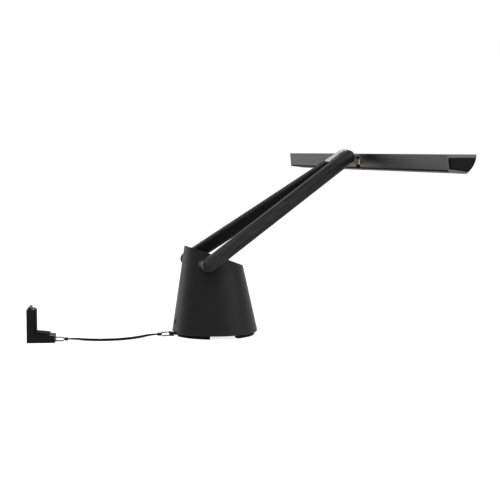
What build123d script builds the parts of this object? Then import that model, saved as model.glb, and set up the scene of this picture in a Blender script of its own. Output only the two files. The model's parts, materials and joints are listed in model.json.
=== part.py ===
from build123d import *
from math import atan2, cos, pi, radians, sin, sqrt, tan
import os

# A piano lamp: a weighted, sloping-topped base, two flat arms that straddle it and close up
# like a pair of compasses, and a long light bar that tilts and swivels on the arms' top end.
# Millimetres. +X is forward to the player, +Y along the light bar, +Z up.
# The origin is the centre of the base on the surface that the lamp stands on.

# General clearances
SEAT_GAP = 0.25
RUNNING_GAP = 0.05

# Housing of the base
RIM_R = 76.0
RIM_Z = 6.0
RIM_CHAMFER = 1.4
CONE_SHRINK = 0.185
CONE_LEAN = -0.0376
CONE_TOP = 176.0
SHELL_WALL = 3.0
DECK_HEIGHT = 139.9
DECK_SLOPE = 19.6
DECK_WALL = 4.0
PANEL_RIM = 3.0
PANEL_T = 1.2

# Underside and weight
PLATE_T = 2.5
PLATE_GAP = 0.6
WEIGHT_T = 38.0
WEIGHT_GAP = 1.5
WEIGHT_CORE_R = 12.0
WEIGHT_BEVEL = 3.0
NOTCH_DEPTH = 22.0
FOOT_INSET = 5.0
FOOT_W = 14.0
FOOT_SPACE = 48.0
FOOT_BEVEL = 0.8
FOOT_GAP_TURN = -93.0
ANCHOR_SPACE = 20.0
PLATE_SCREW_INSET = 30.0
PLATE_SCREW_HEAD_R = 4.0
PLATE_SCREW_HEAD_T = 1.8
PLATE_SCREW_SHANK_R = 2.0
PLATE_SCREW_L = 12.0
PLATE_SCREW_COUNT = 4
PLATE_SCREW_TURN = 40.0

# Controls on the sloping deck
DIAL_X = 12.0
DIAL_R = 15.0
DIAL_PROUD = 2.0
DIAL_SKIRT_R = 11.0
DIAL_SKIRT_WALL = 1.6
DIAL_GRIPS = 30
DIAL_GRIP = 0.5
DIAL_BEVEL = 0.6
BUTTON_R = 8.0
BUTTON_TRAVEL = 1.0
BUTTON_T = 3.0
BUTTON_SINK = 0.4
BUTTON_EDGE = 0.6
BUTTON_DISH = 0.5
BUTTON_DISH_R = 7.0
STEM_R = 2.0
BOARD_DROP = 17.0
BOARD_L = 50.0
BOARD_W = 38.0
BOARD_T = 1.6
ENCODER_R = 13.5
ENCODER_H = 6.0
SWITCH_SIDE = 7.0
SWITCH_H = 4.0
BOARD_POST_R = 3.0
BOARD_POST_INSET = 4.0
BOARD_SCREW_R = 1.3
BOARD_SCREW_HEAD = 1.8
BOARD_SCREW_L = 8.0

# Power inlet at the back
JACK_Z = 24.0
JACK_R = 5.6
JACK_L = 15.0
JACK_BORE_R = 2.8
JACK_BORE_L = 10.0
JACK_PIN_R = 1.0
JACK_NUT_R = 8.0
JACK_NUT_T = 2.5
JACK_NUT_INSET = 1.7
JACK_ROOM = 2.0

# Arms' lower pivot
PIVOT_INSET = 45.0
PIVOT_DROP = 10.9
SHAFT_R = 5.0
SHAFT_PROUD = 9.0
BOSS_R = 10.5
BOSS_INSET = 20.0
BOSS_L = 15.0
BUSH_WALL = 2.0
BUSH_L = 12.0
WASHER_R = 10.0
WASHER_T = 0.9
ARM_HUB_R = 10.0
ARM_HUB_L = 8.0
ARM_BORE_L = 10.0
FRAME_Y = 20.0
FRAME_T = 3.0
FRAME_W = 46.0
FRAME_HEAD_R = 11.5
FRAME_SCREW_R = 2.0
FRAME_SCREW_L = 10.0
FRAME_SCREW_HEAD = 3.6
DISC_R = 13.0
DISC_T = 1.2
SPRING_WASHER_R = 11.0
SPRING_WASHER_H = 2.2
SPRING_WASHER_T = 1.0
NUT_R = 8.5
NUT_T = 5.0

# Arms
ARM_RISE = 33.4
ARM_REACH = 335.5
ARM_W = 24.0
ARM_T = 11.0
ARM_STANDOFF = 11.0
ARM_TOP_Y = 11.5
ARM_EDGE = 2.4
CHANNEL_W = 11.0
CHANNEL_DEPTH = 7.0
CHANNEL_LOW = 24.0
CHANNEL_TOP = 40.0
COVER_LEDGE = 1.6
COVER_T = 1.4
COVER_GAP = 0.15
WIRE_R = 2.0

# Tilt and swivel joint at the arms' top
AXLE_R = 3.0
AXLE_HALF = 13.0
KNUCKLE_R = 14.5
KNUCKLE_HALF = 6.2
KNUCKLE_SEAT_Y = 7.1
TILT_WASHER_T = 0.6
SPACER_BACK = 33.0
SPACER_ROUND = 3.0
SPACER_TOP = 14.5
SPACER_BOTTOM = -12.0
SPACER_RELIEF = 14.4
ARM_SEAT_R = 10.8
KNUCKLE_EDGE = 0.8
KNUCKLE_PLAY = 0.5
DOWEL_R = 2.0
DOWEL_BACK = 24.0
DOWEL_HALF = 14.5
DOWEL_V = 6.5
TONGUE_TOP = -3.0
TONGUE_T = 10.0
TONGUE_HALF = 5.0
TONGUE_PLAY = 0.3
SWIVEL_REACH = 30.0
HUB_R = 7.5
SWIVEL_PIN_R = 2.5
BRACKET_PLATE = 2.5
BRACKET_HALF = 13.0
BRACKET_BACK = 41.0
BRACKET_FLANGE = 11.0
PIN_HEAD_R = 4.0
PIN_HEAD_T = 1.5

# Light bar: its section is measured from its top rear corner
BAR_LENGTH = 720.0
BAR_BACK = 24.0
BAR_RISE = 6.2
BAR_W = 50.4
REAR_H = 26.6
REAR_LEAN = 2.5
FRONT_H = 30.6
FRONT_X = 33.0
FRONT_FLAT = 4.0
FRONT_BULGE_X = 45.9
FRONT_BULGE_Z = 17.0
BAR_WALL = 1.8
CAP_FLANGE = 2.0
CAP_PILLOW = 3.0
CAP_SPIGOT = 4.0
CAP_BAND = 5.2
CAP_LIP = 3.6
CAP_INSET = 1.0
CAP_ROUND = 2.4
NECK_PORT_HALF = 9.0
NECK_PORT_TOP = 1.5
NECK_PORT_BOTTOM = -18.5

# Light engine inside the bar
ENGINE_PLAY = 1.0
WEB_X = 17.6
WEB_T = 1.5
WEB_BOTTOM = -25.4
CARRIER_T = 3.0
CARRIER_FRONT = 44.0
STRIP_X = 21.0
STRIP_W = 15.0
STRIP_T = 1.6
LED_COUNT = 46
LED_L = 3.5
LED_W = 2.8
LED_H = 0.8
REFLECTOR_T = 0.6
REFLECTOR_FLARE = 4.6
REFLECTOR_GAP = 0.4
REFLECTOR_LIFT = 3.0
LENS_T = 2.0
LENS_RECESS = 1.0
LENS_REAR = 18.0
LENS_FRONT = 30.5
COVER_REAR = 4.8
COVER_FRONT = 17.5
COVER_SHEET = 1.6
COVER_RECESS = 0.3
OPENING_REAR = 4.6
OPENING_FRONT = 30.6
OPENING_DEPTH = 6.4

# Safety strap, which lies on the surface behind the base with its hook on its back
ANCHOR_REACH = 3.0
ANCHOR_T = 2.6
ANCHOR_ROOT_INSET = 20.0
ANCHOR_HALF = 6.4
EAR_R = 3.6
ANCHOR_SCREW_INSET = 10.0
ANCHOR_SCREW_R = 2.0
ANCHOR_HEAD_T = 2.0
ANCHOR_SCREW_L = 9.0
EYE_Z = 4.2
EYE_PIN_R = 2.1
EYE_WALL = 1.2
EYE_BORE_R = 2.4
EYE_L = 16.0
EYE_W = 6.0
EYE_TAIL_L = 6.0
EYE_TAIL_T = 2.4
EYE_PLAY = 0.3
STRAP_R = 2.2
STRAP_LEAD = 12.5
CRIMP_L = 5.4
CRIMP_T = 1.0
HOOK_YAW = 13.0
HOOK_REACH = 209.0
HOOK_PIN_Y = 2.0
HOOK_W = 36.0
HOOK_NOSE = 4.5
HOOK_PLATE_L = 47.5
HOOK_PLATE_T = 12.0
HOOK_HEEL_T = 17.0
HOOK_LEG_T = 13.0
HOOK_LEG_H = 57.0
HOOK_TIP_H = 4.0
HOOK_TIP_BACK = 3.5
HOOK_TIP_T = 4.5
HOOK_SLOT_L = 5.0
HOOK_PIN_HALF = 12.0
HOOK_PAD_T = 2.5
HOOK_PAD_INSET = 1.5

# Finished sizes that follow from the driving ones
FOOT_OUTER_R = RIM_R - FOOT_INSET
FOOT_INNER_R = FOOT_OUTER_R - FOOT_W
PLATE_SCREW_R = RIM_R - PLATE_SCREW_INSET
ANCHOR_X = -RIM_R - ANCHOR_REACH
ANCHOR_ROOT_X = ANCHOR_ROOT_INSET - RIM_R
ANCHOR_SCREW_X = ANCHOR_SCREW_INSET - RIM_R
HOOK_PIN_X = ANCHOR_X - HOOK_REACH
PIVOT_X = PIVOT_INSET - RIM_R
PIVOT_Z = DECK_HEIGHT - PIVOT_DROP
BOSS_Y = RIM_R - BOSS_INSET
SHAFT_HALF = BOSS_Y + SHAFT_PROUD
ARM_BORE_Y = BOSS_Y + ARM_BORE_L
ARM_LOW_Y = BOSS_Y + ARM_STANDOFF
TOP_X = PIVOT_X + ARM_REACH * cos(radians(ARM_RISE))
TOP_Z = PIVOT_Z + ARM_REACH * sin(radians(ARM_RISE))
ARM_SPREAD = atan2(ARM_LOW_Y - ARM_TOP_Y, ARM_REACH)
ARM_LENGTH = sqrt(ARM_REACH**2 + (ARM_LOW_Y - ARM_TOP_Y) ** 2)
BAR_X = TOP_X + BAR_BACK
BAR_TOP = TOP_Z + BAR_RISE
SWIVEL_X = TOP_X + SWIVEL_REACH
BODY_HALF = BAR_LENGTH / 2 - CAP_FLANGE - CAP_PILLOW
ENGINE_HALF = BODY_HALF - CAP_SPIGOT - ENGINE_PLAY
SLOPE_COS = cos(radians(DECK_SLOPE))
SLOPE_SIN = sin(radians(DECK_SLOPE))
deck_axis = Axis((0, 0, 0), (SLOPE_SIN, 0, SLOPE_COS))


def save(part, name):
    """Label a finished piece and write it under its node name."""
    part.label = name
    export_step(part, f"parts/{name}.step")


def cone_radius(z):
    return RIM_R - CONE_SHRINK * (z - RIM_Z)


def cone_axis_x(z):
    return CONE_LEAN * (z - RIM_Z)


def deck_plane(lift=0.0):
    """A plane parallel to the sloping deck, lift above it, centred on the control dial."""
    height = DECK_HEIGHT - DIAL_X * tan(radians(DECK_SLOPE))
    centre = (DIAL_X + lift * SLOPE_SIN, 0, height + lift * SLOPE_COS)
    return Plane(centre, x_dir=(SLOPE_COS, 0, -SLOPE_SIN), z_dir=(SLOPE_SIN, 0, SLOPE_COS))


def base_cone(inset, bottom=RIM_Z):
    """The leaning cone of the housing, drawn in by inset, taller than the sloping deck."""
    leaning = Plane((cone_axis_x(0), 0, 0), z_dir=(CONE_LEAN, 0, 1))
    with BuildPart() as cone:
        with Locations(leaning):
            Cone(
                cone_radius(0) - inset,
                cone_radius(CONE_TOP) - inset,
                CONE_TOP,
                align=(Align.CENTER, Align.CENTER, Align.MIN),
            )
        split(bisect_by=Plane.XY.offset(bottom), keep=Keep.TOP)
    return cone.part


def arm_plane(along=0.0, outward=0.0):
    """A frame on the right arm: X up the arm, Y across its face, Z out through its outer face."""
    rise = radians(ARM_RISE)
    up = Vector(cos(ARM_SPREAD) * cos(rise), sin(ARM_SPREAD), cos(ARM_SPREAD) * sin(rise))
    out = Vector(sin(ARM_SPREAD) * cos(rise), -cos(ARM_SPREAD), sin(ARM_SPREAD) * sin(rise))
    start = Vector(PIVOT_X, -ARM_LOW_Y, PIVOT_Z)
    return Plane(start + up * along + out * outward, x_dir=up, z_dir=out)


def pivot_plane(y):
    """The upright plane across the lower pivot at y, with its normal along +Y."""
    return Plane((PIVOT_X, y, PIVOT_Z), x_dir=(1, 0, 0), z_dir=(0, 1, 0))


def tilt_plane(y):
    """The upright plane across the tilt axle at y: X forward, and its own Y points down."""
    return Plane((TOP_X, y, TOP_Z), x_dir=(1, 0, 0), z_dir=(0, 1, 0))


def disc(plane, radius, thickness, bore=0.0):
    """A washer-like disc that grows from the plane along its normal."""
    with BuildPart() as ring:
        with BuildSketch(plane):
            Circle(radius)
            if bore:
                Circle(bore, mode=Mode.SUBTRACT)
        extrude(amount=thickness)
    return ring.part


os.makedirs("parts", exist_ok=True)


# Housing: one leaning cone with a sloping deck, hollow below, with bosses for the arms' shaft
cavity = split(base_cone(SHELL_WALL), bisect_by=deck_plane(-DECK_WALL), keep=Keep.BOTTOM)
panel_recess = split(base_cone(PANEL_RIM), bisect_by=deck_plane(-PANEL_T), keep=Keep.TOP)
bush_r = SHAFT_R + RUNNING_GAP + BUSH_WALL
shaft_bosses = [
    disc(pivot_plane(BOSS_Y - BOSS_L), BOSS_R, BOSS_L),
    disc(pivot_plane(-BOSS_Y), BOSS_R, BOSS_L),
]
post_x = BOARD_L / 2 - BOARD_POST_INSET
post_y = BOARD_W / 2 - BOARD_POST_INSET
post_spots = [(-post_x, -post_y), (post_x, post_y)]
with BuildPart() as base_housing:
    add(base_cone(0.0))
    chamfer(base_housing.edges().group_by(Axis.Z)[0], RIM_CHAMFER)
    split(bisect_by=deck_plane(), keep=Keep.BOTTOM)
    add(cavity, mode=Mode.SUBTRACT)
    add(panel_recess, mode=Mode.SUBTRACT)
    add(shaft_bosses)
    with BuildSketch(deck_plane(-BOARD_DROP)):
        with Locations(*post_spots):
            Circle(BOARD_POST_R)
            Circle(BOARD_SCREW_R, mode=Mode.SUBTRACT)
    extrude(amount=BOARD_DROP - DECK_WALL)
    with BuildSketch(pivot_plane(-BOSS_Y)):
        Circle(bush_r)
    extrude(amount=2 * BOSS_Y, mode=Mode.SUBTRACT)
    with BuildSketch(deck_plane(-DECK_WALL)):
        Circle(DIAL_SKIRT_R + SEAT_GAP)
    extrude(amount=DECK_WALL, mode=Mode.SUBTRACT)
    with BuildSketch(Plane((0, 0, JACK_Z), x_dir=(0, 1, 0), z_dir=(-1, 0, 0))):
        Circle(JACK_R + SEAT_GAP)
    extrude(amount=RIM_R, mode=Mode.SUBTRACT)
save(base_housing.part, "base_housing")

# Control panel: a thin sloping inlay inside the housing's rim, with a well for the dial
with BuildPart() as control_panel:
    add(split(base_cone(PANEL_RIM + SEAT_GAP), bisect_by=deck_plane(), keep=Keep.BOTTOM))
    split(bisect_by=deck_plane(-PANEL_T), keep=Keep.TOP)
    with BuildSketch(deck_plane(-PANEL_T)):
        Circle(DIAL_R + SEAT_GAP)
    extrude(amount=PANEL_T, mode=Mode.SUBTRACT)
save(control_panel.part, "control_panel")

# Dimmer dial: a gripped ring whose skirt turns in the deck and in the encoder below it
dial_floor = SEAT_GAP - PANEL_T
skirt_bottom = -BOARD_DROP + SEAT_GAP
with BuildPart() as dimmer_dial:
    with BuildSketch(deck_plane(dial_floor)):
        Circle(DIAL_R)
        Circle(BUTTON_R + SEAT_GAP, mode=Mode.SUBTRACT)
    extrude(amount=DIAL_PROUD - dial_floor)
    chamfer(dimmer_dial.edges().filter_by(GeomType.CIRCLE).sort_by(deck_axis)[-2:], DIAL_BEVEL)
    with BuildSketch(deck_plane(skirt_bottom)):
        Circle(DIAL_SKIRT_R)
        Circle(DIAL_SKIRT_R - DIAL_SKIRT_WALL, mode=Mode.SUBTRACT)
    extrude(amount=dial_floor - skirt_bottom)
    with BuildSketch(deck_plane(dial_floor)):
        with PolarLocations(DIAL_R, DIAL_GRIPS):
            Rectangle(DIAL_GRIP, DIAL_GRIP, rotation=45)
    extrude(amount=DIAL_PROUD - dial_floor, mode=Mode.SUBTRACT)
save(dimmer_dial.part, "dimmer_dial")

# Power button: a dished cap in the middle of the dial on a stem that works the switch
button_top = DIAL_PROUD - BUTTON_SINK
stem_bottom = -BOARD_DROP + BUTTON_TRAVEL + SEAT_GAP
with BuildPart() as power_button:
    with BuildSketch(deck_plane(button_top - BUTTON_T)):
        Circle(BUTTON_R)
    extrude(amount=BUTTON_T)
    chamfer(power_button.edges().sort_by(deck_axis)[-1], BUTTON_EDGE)
    with BuildSketch(deck_plane(stem_bottom)):
        Circle(STEM_R)
    extrude(amount=button_top - BUTTON_T - stem_bottom)
    with Locations(deck_plane(button_top - BUTTON_DISH)):
        Cone(
            STEM_R,
            BUTTON_DISH_R,
            BUTTON_DISH,
            align=(Align.CENTER, Align.CENTER, Align.MIN),
            mode=Mode.SUBTRACT,
        )
save(power_button.part, "power_button")

# Control board under the deck, with the encoder round the dial's skirt and the button's switch
with BuildPart() as control_board:
    with BuildSketch(deck_plane(-BOARD_DROP - BOARD_T)):
        RectangleRounded(BOARD_L, BOARD_W, BOARD_POST_R)
        with Locations(*post_spots):
            Circle(BOARD_SCREW_R, mode=Mode.SUBTRACT)
    extrude(amount=BOARD_T)
save(control_board.part, "control_board")

with BuildPart() as board_screws:
    with BuildSketch(deck_plane(-BOARD_DROP - BOARD_T - BOARD_SCREW_HEAD)):
        with Locations(*post_spots):
            Circle(2 * BOARD_SCREW_R)
    extrude(amount=BOARD_SCREW_HEAD)
    with BuildSketch(deck_plane(-BOARD_DROP - BOARD_T)):
        with Locations(*post_spots):
            Circle(BOARD_SCREW_R)
    extrude(amount=BOARD_SCREW_L)
save(board_screws.part, "board_screws")

save(
    disc(deck_plane(-BOARD_DROP), ENCODER_R, ENCODER_H, DIAL_SKIRT_R + RUNNING_GAP),
    "dial_encoder",
)

with BuildPart() as power_switch:
    with BuildSketch(deck_plane(-BOARD_DROP)):
        RectangleRounded(SWITCH_SIDE, SWITCH_SIDE, 0.8)
        Circle(STEM_R + RUNNING_GAP, mode=Mode.SUBTRACT)
    extrude(amount=SWITCH_H)
save(power_switch.part, "power_switch")

with BuildPart() as plate_screws:
    with BuildSketch(Plane.XY.offset(RIM_Z)):
        with PolarLocations(PLATE_SCREW_R, PLATE_SCREW_COUNT, start_angle=PLATE_SCREW_TURN):
            Circle(PLATE_SCREW_SHANK_R)
    extrude(amount=PLATE_SCREW_L)
    with BuildSketch(Plane.XY.offset(RIM_Z)):
        with PolarLocations(PLATE_SCREW_R, PLATE_SCREW_COUNT, start_angle=PLATE_SCREW_TURN):
            Circle(PLATE_SCREW_HEAD_R)
    extrude(amount=-PLATE_SCREW_HEAD_T)
save(plate_screws.part, "plate_screws")

# Base plate: a round steel cover, screwed to the weight from below
plate_r = cone_radius(RIM_Z + PLATE_T) - SHELL_WALL - PLATE_GAP
with BuildPart() as base_plate:
    with BuildSketch(Plane.XY.offset(RIM_Z)):
        Circle(plate_r)
        with Locations((ANCHOR_SCREW_X, 0)):
            Circle(ANCHOR_SCREW_R, mode=Mode.SUBTRACT)
    extrude(amount=PLATE_T)
    add(plate_screws.part, mode=Mode.SUBTRACT)
save(base_plate.part, "base_plate")

# Counterweight: a cast block in the foot of the cone, with a cable core and an inlet notch
weight_bottom = RIM_Z + PLATE_T
weight_top = weight_bottom + WEIGHT_T
frame_screw_spots = [
    (PIVOT_X + side_x * FRAME_W / 3, side_y * FRAME_Y / 2) for side_x in (-1, 1) for side_y in (-1, 1)
]
notch_half = JACK_NUT_R + JACK_ROOM


def weight_radius(z):
    """The widest upright round that stays clear of the housing's leaning wall at that height."""
    return cone_radius(z) + cone_axis_x(z) - SHELL_WALL - WEIGHT_GAP


with BuildPart() as counterweight:
    with Locations((0, 0, weight_bottom)):
        Cone(
            weight_radius(weight_bottom),
            weight_radius(weight_top),
            WEIGHT_T,
            align=(Align.CENTER, Align.CENTER, Align.MIN),
        )
    chamfer(counterweight.edges().group_by(Axis.Z)[-1], WEIGHT_BEVEL)
    with BuildSketch(Plane.XY.offset(weight_bottom)):
        Circle(WEIGHT_CORE_R)
    extrude(amount=WEIGHT_T, mode=Mode.SUBTRACT)
    with BuildSketch(Plane.XY.offset(weight_bottom)):
        with PolarLocations(PLATE_SCREW_R, PLATE_SCREW_COUNT, start_angle=PLATE_SCREW_TURN):
            Circle(PLATE_SCREW_SHANK_R)
        with Locations((ANCHOR_SCREW_X, 0)):
            Circle(ANCHOR_SCREW_R)
    extrude(amount=PLATE_SCREW_L - PLATE_T, mode=Mode.SUBTRACT)
    with BuildSketch(Plane.XY.offset(weight_top)):
        with Locations(*frame_screw_spots):
            Circle(FRAME_SCREW_R)
    extrude(amount=FRAME_T - FRAME_SCREW_L, mode=Mode.SUBTRACT)
    with BuildSketch(Plane.XY.offset(JACK_Z - notch_half)):
        with Locations((-RIM_R, 0)):
            Rectangle(2 * NOTCH_DEPTH, 2 * notch_half)
    extrude(amount=WEIGHT_T, mode=Mode.SUBTRACT)
save(counterweight.part, "counterweight")

# Foot ring: a band of rubber under the plate, open at the right and where the anchor comes out
with BuildPart() as foot_ring:
    with BuildSketch():
        Circle(FOOT_OUTER_R)
        Circle(FOOT_INNER_R, mode=Mode.SUBTRACT)
        with PolarLocations(FOOT_INNER_R, 1, start_angle=FOOT_GAP_TURN):
            Rectangle(FOOT_INNER_R, FOOT_SPACE, mode=Mode.SUBTRACT)
        with Locations((-FOOT_OUTER_R, 0)):
            Rectangle(FOOT_INNER_R, ANCHOR_SPACE, mode=Mode.SUBTRACT)
    extrude(amount=RIM_Z)
    chamfer(foot_ring.edges().group_by(Axis.Z)[0], FOOT_BEVEL)
save(foot_ring.part, "foot_ring")

# Power inlet: a barrel socket through the back of the housing, held by a nut inside
back_of_wall = cone_axis_x(JACK_Z) - cone_radius(JACK_Z)


def jack_plane(inward=0.0):
    return Plane((back_of_wall + inward, 0, JACK_Z), x_dir=(0, 1, 0), z_dir=(1, 0, 0))


with BuildPart() as dc_jack:
    with BuildSketch(jack_plane()):
        Circle(JACK_R)
    extrude(amount=JACK_L)
    with BuildSketch(jack_plane()):
        Circle(JACK_BORE_R)
        Circle(JACK_PIN_R, mode=Mode.SUBTRACT)
    extrude(amount=JACK_BORE_L, mode=Mode.SUBTRACT)
save(dc_jack.part, "dc_jack")

with BuildPart() as jack_nut:
    with BuildSketch(jack_plane(SHELL_WALL + JACK_NUT_INSET)):
        RegularPolygon(JACK_NUT_R, 6)
        Circle(JACK_R, mode=Mode.SUBTRACT)
    extrude(amount=JACK_NUT_T)
save(jack_nut.part, "jack_nut")

# Pivot frame: a folded steel bracket that stands on the weight and carries the shaft
frame_drop = PIVOT_Z - weight_top
with BuildPart() as pivot_frame:
    for cheek_y in (FRAME_Y, -FRAME_Y - FRAME_T):
        with BuildSketch(pivot_plane(cheek_y)):
            Circle(FRAME_HEAD_R)
            with Locations((0, frame_drop - FRAME_T)):
                Rectangle(FRAME_W, 2 * FRAME_T)
            make_hull()
            Circle(SHAFT_R + RUNNING_GAP, mode=Mode.SUBTRACT)
        extrude(amount=FRAME_T)
    with BuildSketch(Plane.XY.offset(weight_top)):
        with Locations((PIVOT_X, 0)):
            Rectangle(FRAME_W, 2 * FRAME_Y)
        with Locations(*frame_screw_spots):
            Circle(FRAME_SCREW_R, mode=Mode.SUBTRACT)
    extrude(amount=FRAME_T)
save(pivot_frame.part, "pivot_frame")

with BuildPart() as frame_screws:
    with BuildSketch(Plane.XY.offset(weight_top + FRAME_T)):
        with Locations(*frame_screw_spots):
            RegularPolygon(2 * FRAME_SCREW_R, 6)
    extrude(amount=FRAME_SCREW_HEAD)
    with BuildSketch(Plane.XY.offset(weight_top + FRAME_T)):
        with Locations(*frame_screw_spots):
            Circle(FRAME_SCREW_R)
    extrude(amount=-FRAME_SCREW_L)
save(frame_screws.part, "frame_screws")


# Friction stack: the shaft turns with the arms, and its nuts squeeze discs against the frame
def save_pair(name, inner_y, thickness, radius, bore):
    """Save a matched pair of rings on the shaft, inner_y from the middle on either side."""
    rings = [
        disc(pivot_plane(inner_y), radius, thickness, bore),
        disc(pivot_plane(-inner_y - thickness), radius, thickness, bore),
    ]
    save(Compound(children=rings), name)


save(disc(pivot_plane(-SHAFT_HALF), SHAFT_R, 2 * SHAFT_HALF), "pivot_shaft")

disc_y = FRAME_Y + FRAME_T
save_pair("friction_discs", disc_y, DISC_T, DISC_R, SHAFT_R + 2 * RUNNING_GAP)

spring_y = disc_y + DISC_T + SEAT_GAP
with BuildPart() as spring_washers:
    for outward in (1, -1):
        with BuildSketch(Plane((PIVOT_X, 0, PIVOT_Z), x_dir=(1, 0, 0), z_dir=(0, 0, -outward))):
            with BuildLine():
                Polyline(
                    (SPRING_WASHER_R, spring_y),
                    (SPRING_WASHER_R, spring_y + SPRING_WASHER_T),
                    (SHAFT_R, spring_y + SPRING_WASHER_H),
                    (SHAFT_R, spring_y + SPRING_WASHER_H - SPRING_WASHER_T),
                    close=True,
                )
            make_face()
        revolve(axis=Axis((PIVOT_X, 0, PIVOT_Z), (0, 1, 0)))
save(spring_washers.part, "spring_washers")

nut_y = spring_y + SPRING_WASHER_H
with BuildPart() as shaft_nuts:
    for start_y in (nut_y, -nut_y - NUT_T):
        with BuildSketch(pivot_plane(start_y)):
            RegularPolygon(NUT_R, 6)
            Circle(SHAFT_R, mode=Mode.SUBTRACT)
        extrude(amount=NUT_T)
save(shaft_nuts.part, "shaft_nuts")

save_pair("pivot_bushes", BOSS_Y - BUSH_L, BUSH_L, bush_r, SHAFT_R + RUNNING_GAP)
save_pair("pivot_washers", BOSS_Y, WASHER_T, WASHER_R, SHAFT_R + RUNNING_GAP)

# Arms: flat bars with round ends, a hub against the base and a recess round the tilt knuckle
arm_hub_y = BOSS_Y + WASHER_T + SEAT_GAP
channel_l = ARM_LENGTH - CHANNEL_LOW - CHANNEL_TOP
channel_mid = CHANNEL_LOW + channel_l / 2
arm_inner = -ARM_T / 2
arm_out_axis = Axis(arm_plane().origin, arm_plane().z_dir)
dowel_spots = [(-DOWEL_BACK, DOWEL_V), (-DOWEL_BACK, -DOWEL_V)]


def joint_plane(y):
    """An upright plane across the tilt axle: X runs on along the arms, Y is up, normal is -Y."""
    rise = radians(ARM_RISE)
    return Plane((TOP_X, y, TOP_Z), x_dir=(cos(rise), 0, sin(rise)), z_dir=(0, -1, 0))


with BuildPart() as arm_right:
    with BuildSketch(arm_plane(ARM_LENGTH / 2, arm_inner)):
        SlotCenterToCenter(ARM_LENGTH, ARM_W)
    extrude(amount=ARM_T)
    fillet(arm_right.edges().filter_by(arm_out_axis, reverse=True), ARM_EDGE)
    with BuildSketch(arm_plane(channel_mid, arm_inner)):
        SlotOverall(channel_l, CHANNEL_W)
    extrude(amount=CHANNEL_DEPTH, mode=Mode.SUBTRACT)
    with BuildSketch(arm_plane(channel_mid, arm_inner)):
        SlotOverall(channel_l + 2 * COVER_LEDGE, CHANNEL_W + 2 * COVER_LEDGE)
    extrude(amount=COVER_T, mode=Mode.SUBTRACT)
    add(disc(pivot_plane(-arm_hub_y - ARM_HUB_L), ARM_HUB_R, ARM_HUB_L))
    add(disc(pivot_plane(-ARM_BORE_Y), SHAFT_R, ARM_BORE_Y - BOSS_Y), mode=Mode.SUBTRACT)
    add(disc(tilt_plane(-KNUCKLE_SEAT_Y), KNUCKLE_R + KNUCKLE_PLAY, KNUCKLE_SEAT_Y), mode=Mode.SUBTRACT)
    add(disc(tilt_plane(-ARM_TOP_Y), ARM_SEAT_R, ARM_TOP_Y - KNUCKLE_SEAT_Y))
    add(disc(tilt_plane(-AXLE_HALF), AXLE_R, AXLE_HALF), mode=Mode.SUBTRACT)
    with BuildSketch(joint_plane(0)):
        with Locations(*dowel_spots):
            Circle(DOWEL_R)
    extrude(amount=DOWEL_HALF, mode=Mode.SUBTRACT)
save(arm_right.part, "arm_right")
save(mirror(arm_right.part, about=Plane.XZ), "arm_left")

# Covers over the arms' wire channels, flush with their inner faces, and the wire in the left arm
cover_grow = 2 * (COVER_LEDGE - COVER_GAP)
with BuildPart() as arm_covers:
    with BuildSketch(arm_plane(channel_mid, arm_inner)):
        SlotOverall(channel_l + cover_grow, CHANNEL_W + cover_grow)
    extrude(amount=COVER_T)
    mirror(about=Plane.XZ)
save(arm_covers.part, "arm_covers")

wire_low = arm_plane(CHANNEL_LOW + CHANNEL_W / 2, arm_inner + CHANNEL_DEPTH - WIRE_R).origin
wire_l = channel_l - CHANNEL_W
wire_start = Vector(wire_low.X, -wire_low.Y, wire_low.Z)
wire_way = Vector(arm_plane().x_dir.X, -arm_plane().x_dir.Y, arm_plane().x_dir.Z)
save(disc(Plane(wire_start, z_dir=wire_way), WIRE_R, wire_l), "arm_wire")

# Spacer: a wedge that ties the arms together just behind the tilt knuckle
with BuildPart() as arm_spacer:
    with BuildSketch(joint_plane(ARM_W)):
        with Locations((-SPACER_BACK / 2, (SPACER_TOP + SPACER_BOTTOM) / 2)):
            RectangleRounded(SPACER_BACK, SPACER_TOP - SPACER_BOTTOM, SPACER_ROUND)
        Circle(KNUCKLE_R + SEAT_GAP, mode=Mode.SUBTRACT)
        Rectangle(SPACER_RELIEF, SPACER_RELIEF, align=(Align.MAX, Align.MAX), mode=Mode.SUBTRACT)
        with Locations(*dowel_spots):
            Circle(DOWEL_R, mode=Mode.SUBTRACT)
    extrude(amount=2 * ARM_W)
    split(bisect_by=arm_plane(0, arm_inner), keep=Keep.BOTTOM)
    add(mirror(arm_spacer.part, about=Plane.XZ, mode=Mode.PRIVATE), mode=Mode.INTERSECT)
save(arm_spacer.part, "arm_spacer")

with BuildPart() as spacer_dowels:
    with BuildSketch(joint_plane(DOWEL_HALF)):
        with Locations(*dowel_spots):
            Circle(DOWEL_R)
    extrude(amount=2 * DOWEL_HALF)
save(spacer_dowels.part, "spacer_dowels")

# Tilt joint: an axle across the arms and a knuckle whose tongue carries the swivel hub
save(disc(tilt_plane(-AXLE_HALF), AXLE_R, 2 * AXLE_HALF), "tilt_axle")

washer_y = (KNUCKLE_HALF + KNUCKLE_SEAT_Y - TILT_WASHER_T) / 2
tilt_washers = [
    disc(tilt_plane(washer_y), ARM_SEAT_R, TILT_WASHER_T, AXLE_R),
    disc(tilt_plane(-washer_y - TILT_WASHER_T), ARM_SEAT_R, TILT_WASHER_T, AXLE_R),
]
save(Compound(children=tilt_washers), "tilt_washers")

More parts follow.
